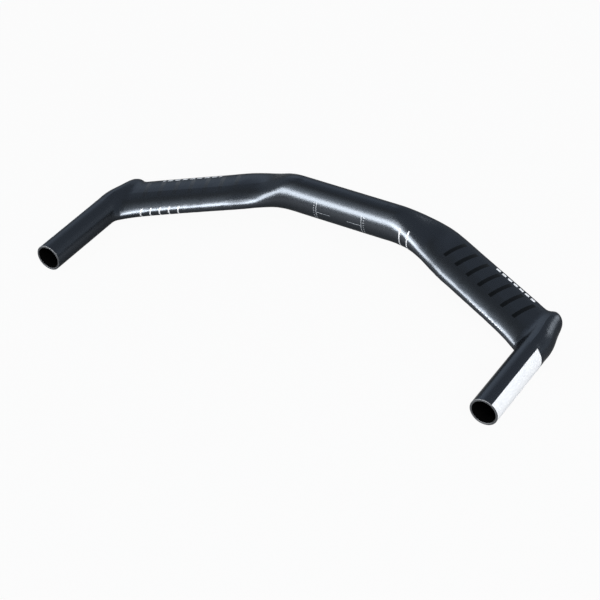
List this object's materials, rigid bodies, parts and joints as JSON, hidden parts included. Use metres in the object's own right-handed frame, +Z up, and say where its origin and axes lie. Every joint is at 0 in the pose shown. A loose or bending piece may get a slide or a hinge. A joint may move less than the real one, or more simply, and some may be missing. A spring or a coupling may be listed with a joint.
{
  "type": "aero base bar",
  "caption": "Flat-winged bicycle base bar with a round centre clamp, swept and dropped wings, moulded corners and straight forward grips with open ends.",
  "frame": {"origin": "centre of the round clamp, on its axis", "axes": "+X along the clamp, -Y forward the way the grips point, +Z up"},
  "size_m": [0.444, 0.1742, 0.0559],
  "materials": {
    "satin_black": "satin black paint with a fine grain"
  },
  "bodies": {
    "root": {"base_bar": "satin_black"}
  },
  "joints": []
}
